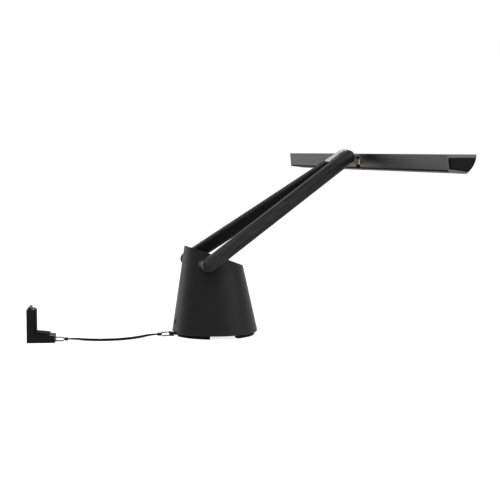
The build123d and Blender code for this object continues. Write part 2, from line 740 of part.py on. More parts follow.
tongue_bottom = TONGUE_TOP - TONGUE_T
with BuildPart() as tilt_knuckle:
    add(disc(tilt_plane(-KNUCKLE_HALF), KNUCKLE_R, 2 * KNUCKLE_HALF))
    chamfer(tilt_knuckle.edges().filter_by(GeomType.CIRCLE), KNUCKLE_EDGE)
    with BuildSketch(Plane.XY.offset(TOP_Z + tongue_bottom)):
        with Locations((TOP_X + SWIVEL_REACH / 2, 0)):
            Rectangle(SWIVEL_REACH, 2 * TONGUE_HALF)
        with Locations((SWIVEL_X, 0)):
            Circle(HUB_R)
            Circle(SWIVEL_PIN_R + RUNNING_GAP, mode=Mode.SUBTRACT)
    extrude(amount=TONGUE_T)
    add(disc(tilt_plane(-KNUCKLE_HALF), AXLE_R + RUNNING_GAP, 2 * KNUCKLE_HALF), mode=Mode.SUBTRACT)
save(tilt_knuckle.part, "tilt_knuckle")

# Swivel joint: a bracket inside the bar grips the hub from above and below
upper_plate = TONGUE_TOP + TONGUE_PLAY
lower_plate = tongue_bottom - TONGUE_PLAY - BRACKET_PLATE
bracket_wall_x = TOP_X + BRACKET_BACK - BRACKET_PLATE / 2
bracket_top = BAR_RISE - BAR_WALL
with BuildPart() as neck_bracket:
    for plate_z in (upper_plate, lower_plate):
        with BuildSketch(Plane.XY.offset(TOP_Z + plate_z)):
            with Locations((SWIVEL_X, 0)):
                Circle(HUB_R)
            with Locations((bracket_wall_x, 0)):
                Rectangle(BRACKET_PLATE, 2 * BRACKET_HALF)
            make_hull()
            with Locations((SWIVEL_X, 0)):
                Circle(SWIVEL_PIN_R, mode=Mode.SUBTRACT)
        extrude(amount=BRACKET_PLATE)
    with BuildSketch(Plane.XY.offset(TOP_Z + lower_plate)):
        with Locations((bracket_wall_x, 0)):
            Rectangle(BRACKET_PLATE, 2 * BRACKET_HALF)
    extrude(amount=bracket_top - lower_plate)
    with BuildSketch(Plane.XY.offset(TOP_Z + bracket_top - BRACKET_PLATE)):
        with Locations((TOP_X + BRACKET_BACK - BRACKET_FLANGE / 2, 0)):
            Rectangle(BRACKET_FLANGE, 2 * BRACKET_HALF)
    extrude(amount=BRACKET_PLATE)
save(neck_bracket.part, "neck_bracket")

with BuildPart() as swivel_pin:
    with BuildSketch(Plane.XY.offset(TOP_Z + lower_plate)):
        with Locations((SWIVEL_X, 0)):
            Circle(SWIVEL_PIN_R)
    extrude(amount=upper_plate + BRACKET_PLATE - lower_plate)
    with BuildSketch(Plane.XY.offset(TOP_Z + lower_plate - PIN_HEAD_T)):
        with Locations((SWIVEL_X, 0)):
            Circle(PIN_HEAD_R)
    extrude(amount=PIN_HEAD_T)
save(swivel_pin.part, "swivel_pin")


# Light bar
def bar_plane(y):
    """A section plane of the bar at y: X forward, Y up, from the bar's top rear corner."""
    return Plane((BAR_X, y, BAR_TOP), x_dir=(1, 0, 0), z_dir=(0, -1, 0))


def bar_section():
    with BuildSketch() as section:
        with BuildLine():
            top = Line((0, 0), (BAR_W, 0))
            brow = Line(top @ 1, (BAR_W, -FRONT_FLAT))
            front = ThreePointArc(brow @ 1, (FRONT_BULGE_X, -FRONT_BULGE_Z), (FRONT_X, -FRONT_H))
            under = Line(front @ 1, (REAR_LEAN, -REAR_H))
            Line(under @ 1, top @ 0)
        make_face()
    return section.sketch


def underside(x):
    """Height of the bar's sloping underside, x forward of its top rear corner."""
    return -REAR_H - (x - REAR_LEAN) * (FRONT_H - REAR_H) / (FRONT_X - REAR_LEAN)


def under_strip(rear, front, recess, thickness):
    """A strip along the bar's underside, recessed into it."""
    low_rear = (rear, underside(rear) + recess)
    low_front = (front, underside(front) + recess)
    high_front = (front, underside(front) + recess + thickness)
    high_rear = (rear, underside(rear) + recess + thickness)
    with BuildPart() as strip:
        with BuildSketch(bar_plane(ENGINE_HALF)):
            with BuildLine():
                Polyline(low_rear, low_front, high_front, high_rear, close=True)
            make_face()
        extrude(amount=2 * ENGINE_HALF)
    return strip.part


port_mid = (NECK_PORT_TOP + NECK_PORT_BOTTOM) / 2
with BuildPart() as light_bar_shell:
    with BuildSketch(bar_plane(BODY_HALF)):
        add(bar_section())
        offset(amount=-BAR_WALL, kind=Kind.INTERSECTION, mode=Mode.SUBTRACT)
        with Locations(((OPENING_REAR + OPENING_FRONT) / 2, -FRONT_H)):
            Rectangle(OPENING_FRONT - OPENING_REAR, 2 * OPENING_DEPTH, mode=Mode.SUBTRACT)
    extrude(amount=2 * BODY_HALF)
    with BuildSketch(Plane((BAR_X, 0, TOP_Z), x_dir=(0, 1, 0), z_dir=(1, 0, 0))):
        with Locations((0, port_mid)):
            RectangleRounded(2 * NECK_PORT_HALF, NECK_PORT_TOP - NECK_PORT_BOTTOM, BAR_WALL)
    extrude(amount=BAR_WALL + REAR_LEAN, mode=Mode.SUBTRACT)
save(light_bar_shell.part, "light_bar_shell")

# End caps: a flange flush with the bar, a raised pillow between two bands and a spigot inside
with BuildPart() as end_cap_right:
    with BuildSketch(bar_plane(-BODY_HALF - CAP_FLANGE)):
        add(bar_section())
        offset(amount=-CAP_INSET, kind=Kind.INTERSECTION)
        with Locations((BAR_W / 2, 0)):
            Rectangle(BAR_W, 2 * CAP_BAND, mode=Mode.SUBTRACT)
        with BuildLine():
            Polyline(
                (0, underside(0) + CAP_LIP),
                (BAR_W, underside(BAR_W) + CAP_LIP),
                (BAR_W, -2 * FRONT_H),
                (0, -2 * FRONT_H),
                close=True,
            )
        make_face(mode=Mode.SUBTRACT)
    extrude(amount=CAP_PILLOW)
    fillet(end_cap_right.faces().sort_by(Axis.Y)[0].edges(), CAP_ROUND)
    with BuildSketch(bar_plane(-BODY_HALF)):
        add(bar_section())
    extrude(amount=CAP_FLANGE)
    with BuildSketch(bar_plane(-BODY_HALF)):
        add(bar_section())
        offset(amount=-BAR_WALL - RUNNING_GAP, kind=Kind.INTERSECTION)
    extrude(amount=-CAP_SPIGOT)
save(end_cap_right.part, "end_cap_right")
save(mirror(end_cap_right.part, about=Plane.XZ), "end_cap_left")

# Light engine: a carrier with a row of chips, between two reflectors over a narrow lens
with BuildPart() as led_carrier:
    with BuildSketch(bar_plane(ENGINE_HALF)):
        with Locations((WEB_X, -BAR_WALL)):
            Rectangle(WEB_T, -BAR_WALL - WEB_BOTTOM, align=(Align.MIN, Align.MAX))
            Rectangle(CARRIER_FRONT - WEB_X, CARRIER_T, align=(Align.MIN, Align.MAX))
    extrude(amount=2 * ENGINE_HALF)
save(led_carrier.part, "led_carrier")

strip_top = -BAR_WALL - CARRIER_T
with BuildPart() as led_strip:
    with BuildSketch(bar_plane(ENGINE_HALF)):
        with Locations((STRIP_X, strip_top)):
            Rectangle(STRIP_W, STRIP_T, align=(Align.MIN, Align.MAX))
    extrude(amount=2 * ENGINE_HALF)
save(led_strip.part, "led_strip")

chip_x = BAR_X + STRIP_X + STRIP_W / 2
with BuildPart() as led_chips:
    with BuildSketch(Plane((chip_x, 0, BAR_TOP + strip_top - STRIP_T), z_dir=(0, 0, -1))):
        with GridLocations(0, 2 * ENGINE_HALF / LED_COUNT, 1, LED_COUNT):
            Rectangle(LED_W, LED_L)
    extrude(amount=LED_H)
save(led_chips.part, "led_chips")

rear_top = STRIP_X - REFLECTOR_GAP - REFLECTOR_T
front_top = STRIP_X + STRIP_W + REFLECTOR_GAP
front_foot = front_top - REFLECTOR_FLARE
reflector_runs = [
    (rear_top, rear_top, WEB_BOTTOM),
    (front_top, front_foot, REFLECTOR_LIFT - FRONT_H),
]
with BuildPart() as reflectors:
    for head_x, foot_x, foot_z in reflector_runs:
        with BuildSketch(bar_plane(ENGINE_HALF)):
            with BuildLine():
                Polyline(
                    (head_x, strip_top - SEAT_GAP),
                    (head_x + REFLECTOR_T, strip_top - SEAT_GAP),
                    (foot_x + REFLECTOR_T, foot_z),
                    (foot_x, foot_z),
                    close=True,
                )
            make_face()
        extrude(amount=2 * ENGINE_HALF)
save(reflectors.part, "reflectors")

save(under_strip(LENS_REAR, LENS_FRONT, LENS_RECESS, LENS_T), "light_lens")
save(under_strip(COVER_REAR, COVER_FRONT, COVER_RECESS, COVER_SHEET), "bottom_cover")

# Strap anchor: a forked tab screwed under the base, with a cross pin in its ears
with BuildPart() as strap_anchor:
    with BuildSketch(Plane.XY.offset(RIM_Z - ANCHOR_T)):
        with Locations((ANCHOR_ROOT_X, 0)):
            Rectangle(ANCHOR_ROOT_X - ANCHOR_X, 2 * ANCHOR_HALF, align=(Align.MAX, Align.CENTER))
        with Locations((ANCHOR_SCREW_X, 0)):
            Circle(ANCHOR_SCREW_R, mode=Mode.SUBTRACT)
    extrude(amount=ANCHOR_T)
    with BuildSketch(Plane((ANCHOR_X, -ANCHOR_HALF, EYE_Z), x_dir=(1, 0, 0), z_dir=(0, 1, 0))):
        Circle(EAR_R)
    extrude(amount=2 * ANCHOR_HALF)
    with BuildSketch(Plane.XY):
        with Locations((ANCHOR_X, 0)):
            Rectangle(2 * (EYE_BORE_R + EYE_WALL + EYE_PLAY), EYE_W + 2 * EYE_PLAY)
    extrude(amount=2 * RIM_Z, mode=Mode.SUBTRACT)
    with BuildSketch(Plane((ANCHOR_X, -ANCHOR_HALF, EYE_Z), x_dir=(1, 0, 0), z_dir=(0, 1, 0))):
        Circle(EYE_PIN_R)
    extrude(amount=2 * ANCHOR_HALF, mode=Mode.SUBTRACT)
save(strap_anchor.part, "strap_anchor")

save(
    disc(Plane((ANCHOR_X, -ANCHOR_HALF, EYE_Z), z_dir=(0, 1, 0)), EYE_PIN_R, 2 * ANCHOR_HALF),
    "anchor_pin",
)

with BuildPart() as anchor_screw:
    with Locations((ANCHOR_SCREW_X, 0, RIM_Z - ANCHOR_T)):
        Cylinder(ANCHOR_SCREW_R, ANCHOR_SCREW_L, align=(Align.CENTER, Align.CENTER, Align.MIN))
        Cylinder(2 * ANCHOR_SCREW_R, ANCHOR_HEAD_T, align=(Align.CENTER, Align.CENTER, Align.MAX))
save(anchor_screw.part, "anchor_screw")


# Hook frame: X points from the hook's pin towards the strap, Y up, and the normal is sideways
def hook_plane(sideways=0.0, height=0.0):
    turn = radians(HOOK_YAW)
    centre = (HOOK_PIN_X + sideways * sin(turn), HOOK_PIN_Y + sideways * cos(turn), height)
    return Plane(centre, x_dir=(cos(turn), -sin(turn), 0), z_dir=(-sin(turn), -cos(turn), 0))


def anchor_plane(sideways=0.0, height=0.0):
    """The base eye's frame: X points from the anchor pin towards the strap, Y up."""
    return Plane((ANCHOR_X, -sideways, height), x_dir=(-1, 0, 0), z_dir=(0, 1, 0))


# Strap eyes: flattened rings round the two pins, with flat tails that the crimps close on
tail_x = EYE_L + EYE_BORE_R + EYE_WALL / 2
tail_end = EYE_L + EYE_BORE_R + EYE_WALL + EYE_TAIL_L
with BuildPart() as strap_eyes:
    for frame in (anchor_plane(EYE_W / 2, EYE_Z), hook_plane(EYE_W / 2, EYE_Z)):
        with BuildSketch(frame):
            with Locations((EYE_L / 2, 0)):
                SlotCenterToCenter(EYE_L, 2 * (EYE_BORE_R + EYE_WALL))
                SlotCenterToCenter(EYE_L, 2 * EYE_BORE_R, mode=Mode.SUBTRACT)
            with Locations((tail_x, 0)):
                Rectangle(tail_end - tail_x, EYE_TAIL_T, align=(Align.MIN, Align.CENTER))
        extrude(amount=EYE_W)
save(strap_eyes.part, "strap_eyes")

with BuildPart() as strap_crimps:
    for frame in (anchor_plane(EYE_W / 2 + CRIMP_T, EYE_Z), hook_plane(EYE_W / 2 + CRIMP_T, EYE_Z)):
        with BuildSketch(frame):
            with Locations((tail_end, 0)):
                Rectangle(CRIMP_L, EYE_TAIL_T + 2 * CRIMP_T, align=(Align.MAX, Align.CENTER))
        extrude(amount=EYE_W + 2 * CRIMP_T)
    add(strap_eyes.part, mode=Mode.SUBTRACT)
save(strap_crimps.part, "strap_crimps")

# Strap: a limp webbing band, here a round stand-in that runs from tail to tail
strap_start = anchor_plane(0, EYE_Z).from_local_coords(Vector(tail_end, 0, 0))
strap_end = hook_plane(0, EYE_Z).from_local_coords(Vector(tail_end, 0, 0))
strap_last = hook_plane(0, EYE_Z).from_local_coords(Vector(tail_end + STRAP_LEAD, 0, 0))
strap_points = [
    strap_start,
    strap_start - Vector(STRAP_LEAD, 0, 0),
    Vector(ANCHOR_X - 56.0, -9.5, 2.7),
    Vector(ANCHOR_X - 79.0, -19.5, STRAP_R + RUNNING_GAP),
    Vector(ANCHOR_X - 107.0, -24.0, STRAP_R + RUNNING_GAP),
    Vector(ANCHOR_X - 135.0, -19.5, STRAP_R + RUNNING_GAP),
    Vector(ANCHOR_X - 157.0, -11.0, STRAP_R + RUNNING_GAP),
    strap_last,
    strap_end,
]


def bend_radii(points):
    """The widest bend at every inner point that leaves a tenth of the shorter run straight."""
    radii = []
    for before, corner, after in zip(points, points[1:], points[2:]):
        first = corner - before
        second = after - corner
        half_turn = radians(first.get_angle(second)) / 2
        radii.append(0.45 * min(first.length, second.length) / tan(half_turn))
    return radii


strap_radii = bend_radii(strap_points)
with BuildPart() as safety_strap:
    with BuildLine() as strap_route:
        FilletPolyline(*strap_points, radius=strap_radii)
    with BuildSketch(Plane(strap_start, z_dir=(-1, 0, 0))):
        Circle(STRAP_R)
    sweep(path=strap_route.line)
save(safety_strap.part, "safety_strap")
strap_l = sum(edge.length for edge in strap_route.edges())
print("strap bend radii", [round(radius, 1) for radius in strap_radii])
print("strap length", round(strap_l, 2))
print("strap volume", round(safety_strap.part.volume, 1), round(pi * STRAP_R**2 * strap_l, 1))

# Edge hook: it lies on the back of its plate with the leg up, a forked nose round the eye
heel_x = HOOK_NOSE - HOOK_PLATE_L
leg_face_x = heel_x + HOOK_LEG_T
plate_slope = (HOOK_HEEL_T - HOOK_PLATE_T) / HOOK_PLATE_L
plate_at_leg = HOOK_PLATE_T + plate_slope * (HOOK_NOSE - leg_face_x)
tip_x = heel_x + HOOK_TIP_BACK
with BuildPart() as edge_hook:
    with BuildSketch(hook_plane(HOOK_W / 2)):
        with BuildLine():
            Polyline(
                (HOOK_NOSE, 0),
                (heel_x, 0),
                (heel_x, HOOK_LEG_H),
                (leg_face_x, HOOK_LEG_H),
                (leg_face_x, plate_at_leg),
                (HOOK_NOSE, HOOK_PLATE_T),
                close=True,
            )
        make_face()
        with Locations((tip_x, HOOK_LEG_H)):
            Rectangle(HOOK_TIP_T, HOOK_TIP_H, align=(Align.MIN, Align.MIN))
    extrude(amount=HOOK_W)
    with BuildSketch(hook_plane((EYE_W + 2 * EYE_PLAY) / 2)):
        with Locations((-HOOK_SLOT_L, 0)):
            Rectangle(2 * HOOK_SLOT_L, HOOK_HEEL_T, align=(Align.MIN, Align.MIN))
    extrude(amount=EYE_W + 2 * EYE_PLAY, mode=Mode.SUBTRACT)
    with BuildSketch(hook_plane(HOOK_PIN_HALF, EYE_Z)):
        Circle(EYE_PIN_R)
    extrude(amount=2 * HOOK_PIN_HALF, mode=Mode.SUBTRACT)
save(edge_hook.part, "edge_hook")

save(disc(hook_plane(HOOK_PIN_HALF, EYE_Z), EYE_PIN_R, 2 * HOOK_PIN_HALF), "hook_pin")

pad_end = -HOOK_SLOT_L - SEAT_GAP
pad_z = HOOK_PLATE_T + plate_slope * (HOOK_NOSE - pad_end)
corner_z = plate_at_leg + HOOK_PAD_T - plate_slope * HOOK_PAD_T
with BuildPart() as hook_pad:
    with BuildSketch(hook_plane(HOOK_W / 2 - HOOK_PAD_INSET)):
        with BuildLine():
            Polyline(
                (pad_end, pad_z),
                (leg_face_x, plate_at_leg),
                (leg_face_x, HOOK_LEG_H - HOOK_PAD_INSET),
                (leg_face_x + HOOK_PAD_T, HOOK_LEG_H - HOOK_PAD_INSET),
                (leg_face_x + HOOK_PAD_T, corner_z),
                (pad_end, pad_z + HOOK_PAD_T),
                close=True,
            )
        make_face()
    extrude(amount=HOOK_W - 2 * HOOK_PAD_INSET)
save(hook_pad.part, "hook_pad")
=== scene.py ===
import json
import math

import bmesh
import bpy
from mathutils import Matrix, Vector


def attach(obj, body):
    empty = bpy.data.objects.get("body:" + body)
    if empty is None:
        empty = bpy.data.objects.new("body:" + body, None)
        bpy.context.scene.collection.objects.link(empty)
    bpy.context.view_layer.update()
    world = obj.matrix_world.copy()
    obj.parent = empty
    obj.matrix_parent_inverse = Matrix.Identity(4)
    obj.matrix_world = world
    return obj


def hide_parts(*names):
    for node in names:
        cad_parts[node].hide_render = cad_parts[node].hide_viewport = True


# A piano lamp on a pale studio floor, seen from its right side and a little behind.
# Metres, in the part's own frame: +X towards the player, +Y along the light bar, +Z up.

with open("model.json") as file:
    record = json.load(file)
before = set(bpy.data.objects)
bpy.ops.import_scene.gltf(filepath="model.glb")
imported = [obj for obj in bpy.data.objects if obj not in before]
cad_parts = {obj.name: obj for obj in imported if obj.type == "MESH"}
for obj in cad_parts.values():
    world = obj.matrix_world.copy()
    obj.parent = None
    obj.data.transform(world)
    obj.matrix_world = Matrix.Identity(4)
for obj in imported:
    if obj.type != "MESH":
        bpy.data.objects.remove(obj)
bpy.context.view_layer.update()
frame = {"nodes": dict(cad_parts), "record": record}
nodes = frame["nodes"]

# Camera, fitted to the photograph: nearly level, a little over two metres off
CAMERA_PLACE = (-0.6231, -2.0910, 0.3274)
CAMERA_TIP_DOWN = 0.0812
CAMERA_TURN = -0.3186
camera = bpy.data.objects.new("camera", bpy.data.cameras.new("camera"))
camera.data.lens = 88.8
camera.data.sensor_width = 36.0
camera.data.clip_end = 50.0
camera.location = CAMERA_PLACE
camera.rotation_euler = (math.pi / 2 - CAMERA_TIP_DOWN, 0.0, CAMERA_TURN)
bpy.context.scene.collection.objects.link(camera)
bpy.context.scene.camera = camera


# Materials
def linear(code, shade=1.0):
    """The linear colour of an sRGB hex code such as 2a2b2e, made lighter or darker by shade."""
    channels = [int(code[i : i + 2], 16) / 255 for i in (0, 2, 4)]
    colour = [c / 12.92 if c <= 0.04045 else ((c + 0.055) / 1.055) ** 2.4 for c in channels]
    return [min(1.0, c * shade) for c in colour] + [1.0]


def feed(tree, node, inputs):
    """Sets a node's inputs; each is a plain value or another node's output."""
    for name, value in inputs.items():
        if isinstance(value, bpy.types.NodeSocket):
            tree.links.new(value, node.inputs[name])
        else:
            node.inputs[name].default_value = value


def add(tree, kind, settings, inputs):
    """A new node of that kind with its settings and inputs."""
    node = tree.nodes.new(kind)
    for name, value in settings.items():
        setattr(node, name, value)
    feed(tree, node, inputs)
    return node


def new_material(name):
    """A new material with its node tree, which starts as one plain shader."""
    material = bpy.data.materials.new(name)
    material.use_nodes = True
    return material, material.node_tree


def close_up(tree, colour, gloss, height, depth, edge, values):
    """Joins a colour, a gloss and a relief of that depth to the shader, with softened edges."""
    rounded = add(tree, "ShaderNodeBevel", {"samples": 6}, {"Radius": edge}).outputs["Normal"]
    relief = add(
        tree,
        "ShaderNodeBump",
        {},
        {"Strength": 1.0, "Distance": depth, "Height": height, "Normal": rounded},
    )
    feed(
        tree,
        tree.nodes["Principled BSDF"],
        {"Base Color": colour, "Roughness": gloss, "Normal": relief.outputs["Normal"], **values},
    )


def powder_coat(name, code, rough, peel, specular, edge=0.0005):
    """Sprayed and baked coat: a skin of pebbles under a millimetre wide, uneven in tone."""
    material, tree = new_material(name)
    place = add(tree, "ShaderNodeTexCoord", {}, {}).outputs["Object"]
    cloud = add(tree, "ShaderNodeTexNoise", {}, {"Vector": place, "Scale": 12.0, "Detail": 3.0})
    tone = add(
        tree,
        "ShaderNodeMix",
        {"data_type": "RGBA"},
        {0: cloud.outputs["Fac"], 6: linear(code, 0.8), 7: linear(code, 1.2)},
    )
    gloss = add(
        tree,
        "ShaderNodeMapRange",
        {},
        {
            "Value": cloud.outputs["Fac"],
            "From Min": 0.3,
            "From Max": 0.7,
            "To Min": rough - 0.03,
            "To Max": rough + 0.04,
        },
    )
    skin = add(
        tree,
        "ShaderNodeTexNoise",
        {},
        {"Vector": place, "Scale": 1100.0, "Detail": 3.0, "Roughness": 0.55},
    )
    close_up(
        tree,
        tone.outputs[2],
        gloss.outputs["Result"],
        skin.outputs["Fac"],
        peel,
        edge,
        {"Specular IOR Level": specular},
    )
    return material


def drawn_metal(
    name, code, rough, values, run, groove, edge=0.0004, lines=900.0, turn=0.0, uneven=0.16
):
    """Metal drawn, brushed or turned: fine lines along one way that catch the light in streaks.

    run is how many times longer than wide the lines are along X, Y and Z, lines is how many
    there are in a metre across, turn tips X up, and uneven is how far their tones differ."""
    material, tree = new_material(name)
    place = add(tree, "ShaderNodeTexCoord", {}, {}).outputs["Object"]
    way = add(
        tree,
        "ShaderNodeMapping",
        {"vector_type": "TEXTURE"},
        {"Vector": place, "Rotation": (0.0, -turn, 0.0), "Scale": run},
    )
    streaks = add(
        tree,
        "ShaderNodeTexNoise",
        {},
        {"Vector": way.outputs["Vector"], "Scale": lines, "Detail": 4.0, "Roughness": 0.6},
    )
    level = add(
        tree,
        "ShaderNodeMapRange",
        {},
        {"Value": streaks.outputs["Fac"], "From Min": 0.3, "From Max": 0.7},
    ).outputs["Result"]
    tone = add(
        tree,
        "ShaderNodeMix",
        {"data_type": "RGBA"},
        {0: level, 6: linear(code, 1 - uneven), 7: linear(code, 1 + uneven)},
    )
    gloss = add(
        tree,
        "ShaderNodeMapRange",
        {},
        {"Value": level, "To Min": rough - 0.05, "To Max": rough + 0.06},
    )
    close_up(tree, tone.outputs[2], gloss.outputs["Result"], level, groove, edge, values)
    return material


def moulding(name, code, rough, grit, depth, specular, edge=0.0003):
    """Moulded plastic, rubber or casting: an even spark texture with that many grains a metre."""
    material, tree = new_material(name)
    place = add(tree, "ShaderNodeTexCoord", {}, {}).outputs["Object"]
    spark = add(
        tree,
        "ShaderNodeTexNoise",
        {},
        {"Vector": place, "Scale": grit, "Detail": 2.0, "Roughness": 0.65},
    )
    cloud = add(tree, "ShaderNodeTexNoise", {}, {"Vector": place, "Scale": 30.0, "Detail": 2.0})
    tone = add(
        tree,
        "ShaderNodeMix",
        {"data_type": "RGBA"},
        {0: cloud.outputs["Fac"], 6: linear(code, 0.85), 7: linear(code, 1.15)},
    )
    gloss = add(
        tree,
        "ShaderNodeMapRange",
        {},
        {
            "Value": spark.outputs["Fac"],
            "From Min": 0.3,
            "From Max": 0.7,
            "To Min": rough - 0.06,
            "To Max": rough + 0.06,
        },
    )
    close_up(
        tree,
        tone.outputs[2],
        gloss.outputs["Result"],
        spark.outputs["Fac"],
        depth,
        edge,
        {"Specular IOR Level": specular},
    )
    return material


# Distances from the bar's middle where an end cap's flange ends and its raised middle starts
FLANGE_END = 0.3571
RAISED_START = 0.3573


def end_cap_finish():
    """Anodised flange, as the bar is, round a raised middle of smooth black plastic."""
    material, tree = new_material("end_cap_finish")
    place = add(tree, "ShaderNodeTexCoord", {}, {}).outputs["Object"]
    along_bar = add(tree, "ShaderNodeSeparateXYZ", {}, {"Vector": place}).outputs["Y"]
    off_middle = add(tree, "ShaderNodeMath", {"operation": "ABSOLUTE"}, {0: along_bar})
    raised = add(
        tree,
        "ShaderNodeMapRange",
        {},
        {
            "Value": off_middle.outputs["Value"],
            "From Min": FLANGE_END,
            "From Max": RAISED_START,
        },
    ).outputs["Result"]
    grain = add(tree, "ShaderNodeTexNoise", {}, {"Vector": place, "Scale": 700.0, "Detail": 3.0})
    tone = add(
        tree,
        "ShaderNodeMix",
        {"data_type": "RGBA"},
        {0: raised, 6: linear("4c4c4c"), 7: linear("070707")},
    )
    gloss = add(tree, "ShaderNodeMapRange", {}, {"Value": raised, "To Min": 0.34, "To Max": 0.2})
    solid = add(tree, "ShaderNodeMapRange", {}, {"Value": raised, "To Min": 1.0, "To Max": 0.0})
    close_up(
        tree,
        tone.outputs[2],
        gloss.outputs["Result"],
        grain.outputs["Fac"],
        0.000004,
        0.0005,
        {"Metallic": solid.outputs["Result"], "Specular IOR Level": 0.06},
    )
    return material


METAL = {"Metallic": 1.0}
# Slope of the arms at rest, which the lines in their finish follow
ARM_RISE = math.radians(33.4)
finishes = {
    # Fine near-black powder coat: dull in front, grey where the cone turns away.
    "housing_paint": powder_coat("housing_paint", "191919", 0.42, 0.00003, 0.11, 0.0012),
    # Satin coat over a drawn bar: dull streaks a few millimetres apart run up the arms.
    "arm_finish": drawn_metal(
        "arm_finish",
        "1d1d1e",
        0.4,
        {"Specular IOR Level": 0.12},
        (30.0, 1.0, 1.0),
        0.00003,
        edge=0.002,
        lines=220.0,
        turn=ARM_RISE,
        uneven=0.75,
    ),
    # Dark anodised extrusion, drawn along its length.
    "bar_finish": drawn_metal("bar_finish", "353536", 0.3, METAL, (1.0, 50.0, 1.0), 0.000006),
    # Warm pale anodised aluminium of the knuckle and its spacer, fine satin.
    "champagne": drawn_metal("champagne", "b2aca3", 0.3, METAL, (1.0, 1.0, 10.0), 0.000006),
    # Smooth black acrylic inlay with a faint sheen.
    "panel": moulding("panel", "0c0c0e", 0.2, 300.0, 0.000002, 0.3),
    # Dark turned aluminium of the dial, with lines round it too fine to draw.
    "dial_finish": drawn_metal("dial_finish", "5a5a5e", 0.34, METAL, (1.0, 1.0, 5.0), 0.000008),
    # Black moulded button, a little glossier than the paint.
    "button_finish": moulding("button_finish", "121214", 0.28, 900.0, 0.000004, 0.3),
    # Sand-cast iron under a black dip, rough to the hand.
    "cast_weight": moulding("cast_weight", "202022", 0.75, 260.0, 0.0002, 0.3),
    # Satin black coat on steel: the hook, its fittings and the plate underneath.
    "black_steel": powder_coat("black_steel", "0d0d0e", 0.36, 0.00002, 0.1, 0.0004),
    # Zinc plating on the inner hardware, bright with a soft grain.
    "bright_steel": drawn_metal("bright_steel", "b4b5b8", 0.3, METAL, (1.0, 1.0, 3.0), 0.000005),
    # Black foot rubber, quite dull.
    "foot_rubber": moulding("foot_rubber", "0c0c0c", 0.85, 900.0, 0.00004, 0.1),
    # Natural acetal washers and bushes.
    "slide_plastic": moulding("slide_plastic", "cfcfca", 0.5, 700.0, 0.00001, 0.5),
    # Green solder mask.
    "board": moulding("board", "144a24", 0.4, 160.0, 0.00001, 0.5),
    # Black glass-filled nylon of the switchgear, the wire's sheath and the inlet.
    "switchgear": moulding("switchgear", "161617", 0.5, 700.0, 0.00002, 0.2),
    # Yellow phosphor on the chips.
    "chip": moulding("chip", "e8cf6a", 0.35, 2000.0, 0.00001, 0.5),
    # White reflective sheet.
    "reflector_white": moulding("reflector_white", "e4e4e2", 0.5, 400.0, 0.000005, 0.5),
    # Frosted diffuser strip, unlit.
    "diffuser": moulding("diffuser", "b9b9b5", 0.6, 1200.0, 0.00001, 0.2),
    # Matt black moulding of the cover strips, which drinks the light.
    "black_plastic": moulding("black_plastic", "080809", 0.7, 1100.0, 0.00001, 0.1),
}
for part in frame["record"]["subparts"]:
    if part["material_slot"] in finishes:
        for slot in nodes[part["node"]].material_slots:
            slot.material = finishes[part["material_slot"]]
cap_finish = end_cap_finish()
for name in ("end_cap_right", "end_cap_left"):
    for slot in nodes[name].material_slots:
        slot.material = cap_finish

# Painted shade: a black strip hung along the light bar's lower rear edge, standing in for the
# shade under the bar
SHADE_STRIP_X = 0.2761
SHADE_STRIP_Z = 0.2942
SHADE_STRIP_L = 0.708
SHADE_STRIP_W = 0.0022
SHADE_STRIP_H = 0.0028
SHADE_STRIP_EDGE = 0.0004
shade_strip_mesh = bmesh.new()
bmesh.ops.create_cube(shade_strip_mesh, size=1.0)
bmesh.ops.scale(shade_strip_mesh, vec=(SHADE_STRIP_W, SHADE_STRIP_L, SHADE_STRIP_H), verts=shade_strip_mesh.verts[:])
bmesh.ops.bevel(
    shade_strip_mesh,
    geom=shade_strip_mesh.edges[:],
    offset=SHADE_STRIP_EDGE,
    segments=2,
    profile=0.5,
    affect="EDGES",
    material=-1,
)
bmesh.ops.translate(shade_strip_mesh, vec=(SHADE_STRIP_X, 0.0, SHADE_STRIP_Z), verts=shade_strip_mesh.verts[:])
shade_strip = bpy.data.objects.new("underside_shade_strip", bpy.data.meshes.new("underside_shade_strip"))
shade_strip_mesh.to_mesh(shade_strip.data)
shade_strip_mesh.free()
shade_strip.data.materials.append(finishes["foot_rubber"])
bpy.context.scene.collection.objects.link(shade_strip)
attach(shade_strip, "head")

# Arms: the outer side of each is crowned, a D in section, on the model's flat bar.
# The foot is the right arm's lower pivot, and the flat is half of the bar's thickness.
ARM_FOOT = Vector((-0.031, -0.067, 0.129))
ARM_REACH = 0.3355
ARM_CLOSING = 0.0555
ARM_SPREAD = math.atan2(ARM_CLOSING, ARM_REACH)
ARM_LENGTH = math.hypot(ARM_CLOSING, ARM_REACH)
ARM_FLAT = 0.0055
CROWN_HALF = 0.0126
CROWN_SEAT = 0.003
CROWN_DEPTH = 0.0092
# 2 makes an ellipse of the crown's section, and more makes it squarer
CROWN_FULLNESS = 2.6
CROWN_POINTS = 64
CROWN_RINGS = 9
# Share of the crown's half width where its upright rim ends and its dome begins
CROWN_RIM = 0.995


def arm_stand():
    """The right arm's frame: X up along it, Z out of its outer side, from its lower pivot."""
    up = Vector(
        (
            math.cos(ARM_SPREAD) * math.cos(ARM_RISE),
            math.sin(ARM_SPREAD),
            math.cos(ARM_SPREAD) * math.sin(ARM_RISE),
        )
    )
    out = Vector(
        (
            math.sin(ARM_SPREAD) * math.cos(ARM_RISE),
            -math.cos(ARM_SPREAD),
            math.sin(ARM_SPREAD) * math.sin(ARM_RISE),
        )
    )
    turned = Matrix((up, out.cross(up), out)).transposed().to_4x4()
    return Matrix.Translation(ARM_FOOT + (ARM_FLAT - CROWN_SEAT) * out) @ turned


def crown_height(aside):
    """Height of the crown over its seat, that far to the side of the arm's middle line."""
    return CROWN_DEPTH * (1 - (aside / CROWN_HALF) ** CROWN_FULLNESS) ** (1 / CROWN_FULLNESS)


